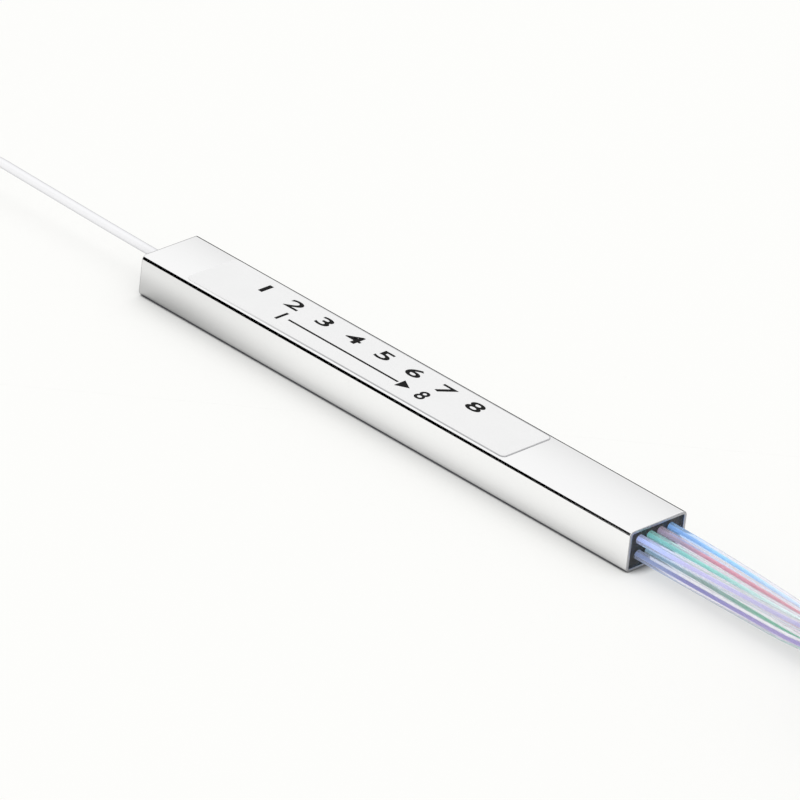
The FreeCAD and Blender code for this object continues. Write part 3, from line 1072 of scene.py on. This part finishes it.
@dataclass(frozen=True)
class OutputBundle:
    """The eight clear output tubes, the fibre in each, and the hank that they are wound into."""

    diameter: float = 0.9 * MM
    fiber_diameter: float = 0.25 * MM
    fiber_sides: int = 1
    length: float = 1000.0 * MM
    start: float = 25.9
    fiber_start: float = 27.5
    exit: float = 29.6
    exit_height: float = 2.0
    exit_pitch: tuple[float, float] = (1.28, 1.50)
    columns: int = 4
    rows: int = 2
    route: tuple[tuple[float, ...], ...] = (
        (33.5, 0.00, 2.00, 1.28, 1.50, 0),
        (42.0, -0.16, 1.93, 1.17, 1.55, -5),
        (49.0, -0.35, 1.86, 1.05, 1.60, -13),
        (56.0, -0.70, 2.02, 1.02, 1.15, -52),
        (62.5, -1.005, 2.105, 0.97, 0.97, -90),
        (66.5, -1.005, 2.105, 0.97, 0.97, -90),
    )
    lay_pitch: float = 0.97
    hank_outer_radius: float = 11.0
    hank_run: float = 17.8
    hank_columns: int = 4
    hank_levels: int = 3
    bottom: float = 0.65
    side_stations: int = 3
    bend_stations: int = 6
    inward_from: int = 9
    climb_from: int = 12
    sink_from: int = 6
    shift_stations: int = 3
    inks: tuple[CoatedFiber, ...] = (
        CoatedFiber(Tint.VIOLET, "6F83AC", "5656A0", "8474B0", "A4AEC8"),
        CoatedFiber(Tint.VIOLET, "A4B4E0", "ACAAD8", "A6A2C8", "C4CEF0"),
        CoatedFiber(Tint.GREEN, "7090A4", "80A094", "6CB894", "B0C4CC"),
        CoatedFiber(Tint.GREEN, "64A8A8", "6CC4B8", "CCE0DC", "98D4CE"),
        CoatedFiber(Tint.RED, "8C7890", "DCCCD6", "E4DADF", "B4ACC0"),
        CoatedFiber(Tint.RED, "8C8096", "C87890", "C48290", "BCB0C4"),
        CoatedFiber(Tint.BLUE, "7A9AC8", "C4D8F0", "DDE6F4", "98C0EC"),
        CoatedFiber(Tint.BLUE, "749CC8", "7CC6F4", "C8DCF0", "94C4F0"),
    )

    def exit_places(self) -> list[tuple[float, float]]:
        """Gives each tube's place across and up where it leaves the potting, in millimetres."""
        places = []
        for number in range(self.columns * self.rows):
            across, up = self.from_middle(number)
            places.append((across * self.exit_pitch[0], self.exit_height + up * self.exit_pitch[1]))
        return places

    def from_middle(self, number: int) -> tuple[float, float]:
        """Gives a tube's column and row, counted from the middle of the bundle."""
        column, row = divmod(number, self.rows)
        return column - (self.columns - 1) / 2, row - (self.rows - 1) / 2

    def free_points(self, number: int) -> list[Vector]:
        """Works out one tube's points from its seal to the hank.

        Args:
            number: The tube's number, from zero.

        Returns:
            Control points in millimetres.
        """
        across, up = self.from_middle(number)
        points = [Vector((self.start, *self.exit_places()[number]))]
        for x, y, z, column_pitch, row_pitch, turn in self.route:
            angle = math.radians(turn)
            aside = across * column_pitch * math.cos(angle) - up * row_pitch * math.sin(angle)
            above = across * column_pitch * math.sin(angle) + up * row_pitch * math.cos(angle)
            points.append(Vector((x, y + aside, z + above)))
        return points

    def block_places(self) -> list[tuple[int, int]]:
        """Gives the column and level of each turn of the bundle, in the order of winding."""
        places = []
        for column in range(self.hank_columns):
            levels = range(self.hank_levels)
            ordered = levels if column % 2 == 0 else reversed(levels)
            places += [(column, level) for level in ordered]
        return places

    def hank_points(self, number: int) -> list[Vector]:
        """Works out one tube's turns in the hank.

        Args:
            number: The tube's number, from zero.

        Returns:
            Control points in millimetres, as many a turn as it has stations.
        """
        across, up = self.from_middle(number)
        x, y = self.route[-1][:2]
        outermost = self.hank_outer_radius - self.diameter / MM / 2
        middle_y = y + outermost - self.lay_pitch / 2
        height = (self.columns - 1) / 2 - across
        places = self.block_places()
        points = []
        for turn, (column, level) in enumerate(places):
            then = places[min(turn + 1, len(places) - 1)]
            rise_from = self.climb_from if then[1] > level else self.sink_from
            for station in range(2 * (self.side_stations + self.bend_stations)):
                inward = self.shifted(station, self.inward_from) * (then[0] - column)
                rising = self.shifted(station, rise_from) * (then[1] - level)
                block = outermost - self.lay_pitch / 2 - 2 * self.lay_pitch * (column + inward)
                radius = block - up * self.lay_pitch
                place = self.station_place(station, radius)
                lift = self.columns * (level + rising) + height
                points.append(
                    Vector((x + place[0], middle_y + place[1], self.bottom + self.lay_pitch * lift))
                )
        return points

    def shifted(self, station: int, first: int) -> float:
        """Gives how much of a shift is done at a station, when it starts at the first one."""
        return min(max((station - first) / self.shift_stations, 0.0), 1.0)

    def station_place(self, station: int, radius: float) -> tuple[float, float]:
        """Finds a station on a turn with two straight sides and two round ends.

        Args:
            station: Its number, from the start of the front side.
            radius: The round ends' radius, in millimetres.

        Returns:
            Its place along and across, from the middle of the first round end.
        """
        step = 180 / self.bend_stations
        outer = radius / math.cos(math.radians(step / 2))
        part, index = divmod(station, self.side_stations + self.bend_stations)
        if index < self.side_stations:
            share = (index + 0.5) / self.side_stations
            along = self.hank_run * (share if part == 0 else 1 - share)
            return along, -radius if part == 0 else radius
        angle = math.radians(-90 + step * (index - self.side_stations + 0.5) + 180 * part)
        middle = self.hank_run if part == 0 else 0.0
        return middle + outer * math.cos(angle), outer * math.sin(angle)

    def build(self) -> list[bpy.types.Object]:
        """Makes the tubes with their fibres, and hides the CAD tubes and hank that they stand for.
        """
        tubes = []
        for number, ink in enumerate(self.inks):
            points = self.free_points(number) + self.hank_points(number)
            points = [point * MM for point in points]
            named = f"{ink.tint.name.lower()}_{number + 1}"
            tube = lay_curve(f"output_loose_tube_{number + 1}", points, self.diameter)
            tube.data.materials.append(ClearTube(ink.haze).make("clear_polyester_tube_" + named))
            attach(tube, BODY)
            stands_for = [f"output_tube_{number + 1}"] + (["output_hank"] if number == 0 else [])
            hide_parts(*stands_for)
            inner = [Vector((self.fiber_start * MM, *points[0][1:]))] + points[1:]
            fiber = lay_curve(
                f"coated_fiber_{number + 1}", inner, self.fiber_diameter, self.fiber_sides
            )
            fiber.data.materials.append(ink.make("ink_coated_fiber_" + named))
            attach(fiber, BODY)
            LOG.info("%s: %d points", tube.name, len(points))
            tubes.append(tube)
        return tubes


def corners_of(node: str) -> tuple[Vector, Vector]:
    """Gives a CAD node's lowest and highest corners."""
    low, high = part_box(node)
    return Vector(low), Vector(high)


def add_block(name: str, low: Vector, high: Vector) -> bpy.types.Object:
    """Adds a block between two corners, with its place in its mesh.

    Args:
        name: The block's name.
        low: Its lowest corner.
        high: Its highest corner.

    Returns:
        The block, which is the active object.
    """
    bpy.ops.object.select_all(action="DESELECT")
    bpy.ops.mesh.primitive_cube_add(size=1, location=(low + high) / 2, scale=high - low)
    block = bpy.context.object
    block.name = name
    bpy.ops.object.transform_apply(location=True, rotation=True, scale=True)
    return block


def choose(
    piece: bpy.types.Object,
    kind: str,
    test: Callable[[bmesh.types.BMFace | bmesh.types.BMEdge], bool],
) -> None:
    """Selects a piece's faces or edges by a test, in edit mode.

    Args:
        piece: The piece that is edited.
        kind: FACE or EDGE.
        test: Gives true for what is selected.
    """
    bpy.ops.mesh.select_mode(type=kind)
    bpy.ops.mesh.select_all(action="DESELECT")
    mesh = bmesh.from_edit_mesh(piece.data)
    for item in mesh.faces if kind == "FACE" else mesh.edges:
        item.select_set(test(item))
    bmesh.update_edit_mesh(piece.data)


def runs_lengthwise(edge: bmesh.types.BMEdge) -> bool:
    """Tells whether an edge runs along the splitter."""
    first, second = (corner.co for corner in edge.verts)
    return abs((second - first).normalized().x) > LEAST_LENGTHWISE


def faces_an_end(face: bmesh.types.BMFace) -> bool:
    """Tells whether a face looks along the splitter."""
    return abs(face.normal.x) > LEAST_END_FACING


def round_lengthwise(piece: bpy.types.Object, radius: float, steps: int) -> None:
    """Rounds the edges of a block that run along the splitter.

    Args:
        piece: The block, which is the active object.
        radius: The edges' radius, in metres.
        steps: How many flat strips make each round edge.
    """
    bpy.ops.object.mode_set(mode="EDIT")
    choose(piece, "EDGE", runs_lengthwise)
    bpy.ops.mesh.bevel(offset=radius, segments=steps, affect="EDGES")
    bpy.ops.object.mode_set(mode="OBJECT")


def cut_across(place: float, clear_beyond: bool = False) -> None:
    """Cuts the piece in edit mode across the splitter.

    Args:
        place: Where the cut lies along X, in metres.
        clear_beyond: Whether what lies beyond it is taken away.
    """
    bpy.ops.mesh.select_all(action="SELECT")
    bpy.ops.mesh.bisect(
        plane_co=(place, 0, 0),
        plane_no=(1, 0, 0),
        threshold=SAME_PLACE,
        clear_outer=clear_beyond,
    )


def apply_modifier(piece: bpy.types.Object, kind: str, settings: dict[str, object]) -> None:
    """Gives a piece a modifier and applies it.

    Args:
        piece: The piece.
        kind: Blender's name of the modifier's type.
        settings: Values of its properties, by name.
    """
    bpy.context.view_layer.objects.active = piece
    modifier = piece.modifiers.new(kind.lower(), kind)
    for name, value in settings.items():
        setattr(modifier, name, value)
    bpy.ops.object.modifier_apply(modifier=modifier.name)


def smooth_by_angle(piece: bpy.types.Object, degrees: float) -> None:
    """Shades a piece smooth, apart from its sharper edges."""
    bpy.ops.object.select_all(action="DESELECT")
    piece.select_set(True)
    bpy.context.view_layer.objects.active = piece
    bpy.ops.object.shade_smooth_by_angle(angle=math.radians(degrees))


def settle(piece: bpy.types.Object, slot: str, *replaced: str) -> None:
    """Hands a finished piece to the frame.

    Args:
        piece: The piece.
        slot: The record's material slot for the piece; not used.
        replaced: The CAD nodes that it stands for.
    """
    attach(piece, BODY)
    if replaced:
        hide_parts(*replaced)
    LOG.info("%s: %d faces", piece.name, len(piece.data.polygons))


@dataclass(frozen=True)
class SteelTube:
    """The rectangular steel tube: rounded long edges, and ends with small deburred lips."""

    wall: float = 0.3 * MM
    edge_radius: float = 0.5 * MM
    edge_steps: int = 24
    lip: float = 0.08 * MM
    lip_steps: int = 3
    lip_support: float = 0.15 * MM
    lip_angle: float = 60.0
    least_cut_facing: float = 0.25
    smooth_angle: float = 40.0

    def build(self) -> bpy.types.Object:
        """Makes the tube."""
        low, high = corners_of("steel_tube")
        tube = add_block("drawn_steel_tube", low, high)
        round_lengthwise(tube, self.edge_radius, self.edge_steps)
        bpy.ops.object.mode_set(mode="EDIT")
        choose(tube, "FACE", faces_an_end)
        bpy.ops.mesh.delete(type="ONLY_FACE")
        bpy.ops.object.mode_set(mode="OBJECT")
        apply_modifier(
            tube,
            "SOLIDIFY",
            {
                "thickness": self.wall,
                "offset": -1.0,
                "use_even_offset": True,
                "use_quality_normals": True,
            },
        )
        apply_modifier(
            tube,
            "BEVEL",
            {
                "width": self.lip,
                "segments": self.lip_steps,
                "limit_method": "ANGLE",
                "angle_limit": math.radians(self.lip_angle),
            },
        )
        self.cut_supports(low.x + self.lip_support, high.x - self.lip_support)
        tube.data.materials.append(PolishedStainless().make())
        tube.data.materials.append(CutStainless().make())
        for face in tube.data.polygons:
            face.material_index = 1 if abs(face.normal.x) > self.least_cut_facing else 0
        smooth_by_angle(tube, self.smooth_angle)
        settle(tube, "polished_stainless", "steel_tube")
        return tube

    @staticmethod
    def cut_supports(*places: float) -> None:
        """Cuts loops across the active tube, so that its lips don't bend its faces' shading.

        Args:
            places: Where the loops lie along X, in metres.
        """
        bpy.ops.object.mode_set(mode="EDIT")
        for place in places:
            cut_across(place)
        bpy.ops.object.mode_set(mode="OBJECT")


@dataclass(frozen=True)
class EndSeal:
    """The potting in one end, which climbs a little up the tubes and the steel."""

    node: str
    side: Side
    tubes: tuple[tuple[float, float], ...]
    tube_radius: float = 0.45 * MM
    tube_sides: int = 48
    corner_radius: float = 0.2 * MM
    corner_steps: int = 6
    cuts: int = 63
    climb: float = 0.12 * MM
    climb_reach: float = 0.13 * MM
    highest_climb: float = 1.5
    smooth_angle: float = 50.0
    same_face: float = 1e-7

    def build(self) -> bpy.types.Object:
        """Makes the seal."""
        low, high = corners_of(self.node)
        face_x = high.x if self.side is Side.OUTPUT else low.x
        seal = add_block(self.node + "_poured", low, high)
        bpy.ops.object.mode_set(mode="EDIT")
        choose(seal, "FACE", lambda face: face.normal.x * self.side.value > LEAST_END_FACING)
        bpy.ops.mesh.subdivide(number_cuts=self.cuts)
        self.raise_edges(seal, face_x, low, high)
        bpy.ops.object.mode_set(mode="OBJECT")
        spare = Vector((high.x - low.x, 0, 0))
        bore = add_block("seal_bore", low - spare, high + spare)
        round_lengthwise(bore, self.corner_radius, self.corner_steps)
        self.cut_with(seal, bore, "INTERSECT")
        for y, z in self.tubes:
            bpy.ops.object.select_all(action="DESELECT")
            bpy.ops.mesh.primitive_cylinder_add(
                vertices=self.tube_sides,
                radius=self.tube_radius,
                depth=3 * spare.x,
                location=((low.x + high.x) / 2, y, z),
                rotation=(0, math.radians(90), 0),
            )
            self.cut_with(seal, bpy.context.object, "DIFFERENCE")
        seal.data.materials.append(Stock.CAST_EPOXY.value.make())
        smooth_by_angle(seal, self.smooth_angle)
        settle(seal, "potting", self.node)
        return seal

    def raise_edges(self, seal: bpy.types.Object, face_x: float, low: Vector, high: Vector) -> None:
        """Draws the outer face up where it wets the tubes and the steel.

        Args:
            seal: The seal, in edit mode.
            face_x: Where its outer face lies.
            low: The seal's lowest corner.
            high: The seal's highest corner.
        """
        mesh = bmesh.from_edit_mesh(seal.data)
        for corner in mesh.verts:
            if abs(corner.co.x - face_x) > self.same_face:
                continue
            y, z = corner.co.y, corner.co.z
            gaps = [math.hypot(y - tube[0], z - tube[1]) - self.tube_radius for tube in self.tubes]
            gaps += [y - low.y, high.y - y, z - low.z, high.z - z]
            rise = sum(self.climb * math.exp(-max(gap, 0.0) / self.climb_reach) for gap in gaps)
            corner.co.x = face_x + self.side.value * min(rise, self.highest_climb * self.climb)
        bmesh.update_edit_mesh(seal.data)

    @staticmethod
    def cut_with(seal: bpy.types.Object, tool: bpy.types.Object, operation: str) -> None:
        """Cuts the seal with another shape, and takes that shape away."""
        settings = {"object": tool, "operation": operation, "solver": "EXACT"}
        apply_modifier(seal, "BOOLEAN", settings)
        bpy.data.objects.remove(tool)


@dataclass(frozen=True)
class LabelPrint:
    """Plain print on the label: the outputs' numbers, and an arrow from one to eight."""

    numbers: str = "1  2  3  4  5  6  7  8"
    numbers_from: float = -19.5 * MM
    numbers_to: float = 7.5 * MM
    numbers_middle: float = 1.25 * MM
    arrow_from: float = -15.0 * MM
    arrow_to: float = 3.0 * MM
    arrow_middle: float = -1.15 * MM
    height: float = 1.6 * MM
    ink: float = 0.004 * MM
    drawn_depth: float = 0.5
    boldness: float = 0.02
    digit_width: float = 0.62
    arrow_gap: float = 1.0 * MM
    shaft_width: float = 0.24 * MM
    head_size: float = 0.45
    head_radius: float = 1.15

    def build(self) -> bpy.types.Object:
        """Makes the print as one piece."""
        bottom = corners_of("top_label")[1].z
        numbers = self.words(
            self.numbers, self.numbers_from, self.numbers_to, self.numbers_middle, bottom
        )
        pieces = [numbers, *self.arrow(bottom)]
        bpy.ops.object.select_all(action="DESELECT")
        for piece in pieces:
            piece.select_set(True)
        bpy.context.view_layer.objects.active = pieces[0]
        bpy.ops.object.join()
        printed = bpy.context.object
        printed.name = "label_print"
        printed.data.materials.clear()
        printed.data.materials.append(Stock.PRINT_INK.value.make())
        settle(printed, "print_ink")
        return printed

    def words(
        self, text: str, start: float, end: float | None, middle: float, bottom: float
    ) -> bpy.types.Object:
        """Prints a line of characters.

        Args:
            text: The characters.
            start: Where the line starts along X, in metres.
            end: Where it ends, or nothing to keep the font's own width.
            middle: Its middle across the label, in metres.
            bottom: The label's upper surface.

        Returns:
            The line as a mesh, with its place in it.
        """
        bpy.ops.object.select_all(action="DESELECT")
        bpy.ops.object.text_add()
        line = bpy.context.object
        line.data.body = text
        line.data.extrude = self.drawn_depth
        line.data.offset = self.boldness
        bpy.ops.object.convert(target="MESH")
        line = bpy.context.object
        corners = [corner.co for corner in line.data.vertices]
        low = Vector([min(corner[axis] for corner in corners) for axis in range(3)])
        high = Vector([max(corner[axis] for corner in corners) for axis in range(3)])
        size = high - low
        share = self.height / size.y
        wide = share if end is None else (end - start) / size.x
        line.scale = (wide, share, self.ink / size.z)
        line.location = (
            start - low.x * wide,
            middle - (low.y + high.y) / 2 * share,
            bottom + self.ink / 2,
        )
        bpy.ops.object.transform_apply(location=True, rotation=True, scale=True)
        return line

    def arrow(self, bottom: float) -> list[bpy.types.Object]:
        """Prints the digit one, an arrow and the digit eight.

        Args:
            bottom: The label's upper surface.

        Returns:
            The pieces of the line.
        """
        one = self.words("1", self.arrow_from, None, self.arrow_middle, bottom)
        digit = self.height * self.digit_width
        eight = self.words("8", self.arrow_to - digit, None, self.arrow_middle, bottom)
        start = self.arrow_from + self.arrow_gap
        tip = self.arrow_to - self.arrow_gap - digit
        half = self.shaft_width / 2
        head = self.height * self.head_size
        radius = head * self.head_radius
        shaft = add_block(
            "arrow",
            Vector((start, self.arrow_middle - half, bottom)),
            Vector((tip, self.arrow_middle + half, bottom + self.ink)),
        )
        bpy.ops.object.mode_set(mode="EDIT")
        cut_across(tip - 2 * head, clear_beyond=True)
        bpy.ops.object.mode_set(mode="OBJECT")
        bpy.ops.object.select_all(action="DESELECT")
        bpy.ops.mesh.primitive_cylinder_add(
            vertices=3,
            radius=radius,
            depth=self.ink,
            location=(tip - radius, self.arrow_middle, bottom + self.ink / 2),
            rotation=(0, 0, math.radians(-90)),
        )
        bpy.ops.object.transform_apply(location=True, rotation=True, scale=True)
        return [one, shaft, bpy.context.object, eight]


def give(
    nodes: dict[str, bpy.types.Object], names: Iterable[str], finish: bpy.types.Material
) -> None:
    """Gives a finish to CAD nodes.

    Args:
        nodes: The frame's nodes by name.
        names: The nodes that get the finish.
        finish: The material.
    """
    for name in names:
        nodes[name].data.materials.clear()
        nodes[name].data.materials.append(finish)
        LOG.info("%s: %s", name, finish.name)


@dataclass(frozen=True)
class Optics:
    """What the splitter holds inside, and the ties, whose CAD shapes stay as they are."""

    glass: tuple[str, ...] = (
        "chip_input_lid",
        "chip_output_lid",
        "input_array_base",
        "input_array_lid",
        "output_array_base",
        "output_array_lid",
    )
    pads: tuple[str, ...] = ("input_array_cushion", "chip_cushion", "output_array_cushion")
    beads: tuple[str, ...] = ("input_fiber_bond", "output_fiber_bond")
    ties: tuple[str, ...] = ("input_coil_tie", "output_hank_tie")

    def dress(self, nodes: dict[str, bpy.types.Object], inks: Sequence[CoatedFiber]) -> None:
        """Gives every CAD node that stays its finish.

        Args:
            nodes: The frame's nodes by name.
            inks: The ink of each output fibre.
        """
        give(nodes, self.glass, Stock.POLISHED_GLASS.value.make())
        give(nodes, self.pads, Stock.SILICONE_PAD.value.make())
        give(nodes, self.beads, Stock.OPTICAL_GLUE.value.make())
        give(nodes, self.ties, Stock.TIE_FILM.value.make())
        give(nodes, ["plc_chip"], Stock.SILICON_CHIP.value.make())
        give(nodes, ["input_fiber"], Stock.NATURAL_COATING.value.make())
        for number, ink in enumerate(inks, start=1):
            plain = CoatedFiber(ink.tint, *[ink.tint.value] * 4)
            give(nodes, [f"output_fiber_{number}"], plain.make(f"ink_coated_fiber_end_{number}"))
        label_low, label_high = corners_of("top_label")
        give(nodes, ["top_label"], LabelFilm().make(label_low, label_high))


def main() -> None:
    """Builds the scene."""
    logging.basicConfig(level=logging.INFO, format="%(message)s")
    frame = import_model()
    bpy.ops.object.select_all(action="DESELECT")
    PhotoCamera().build()
    cord = InputCord()
    cord.build()
    bundle = OutputBundle()
    bundle.build()
    Studio().build()
    SteelTube().build()
    exits = tuple((y * MM, z * MM) for y, z in bundle.exit_places())
    EndSeal("output_end_seal", Side.OUTPUT, exits).build()
    entry = (cord.exit[1] * MM, cord.exit[2] * MM)
    EndSeal("input_end_seal", Side.INPUT, (entry,)).build()
    LabelPrint().build()
    Optics().dress(frame["nodes"], bundle.inks)


if __name__ == "__main__":
    main()
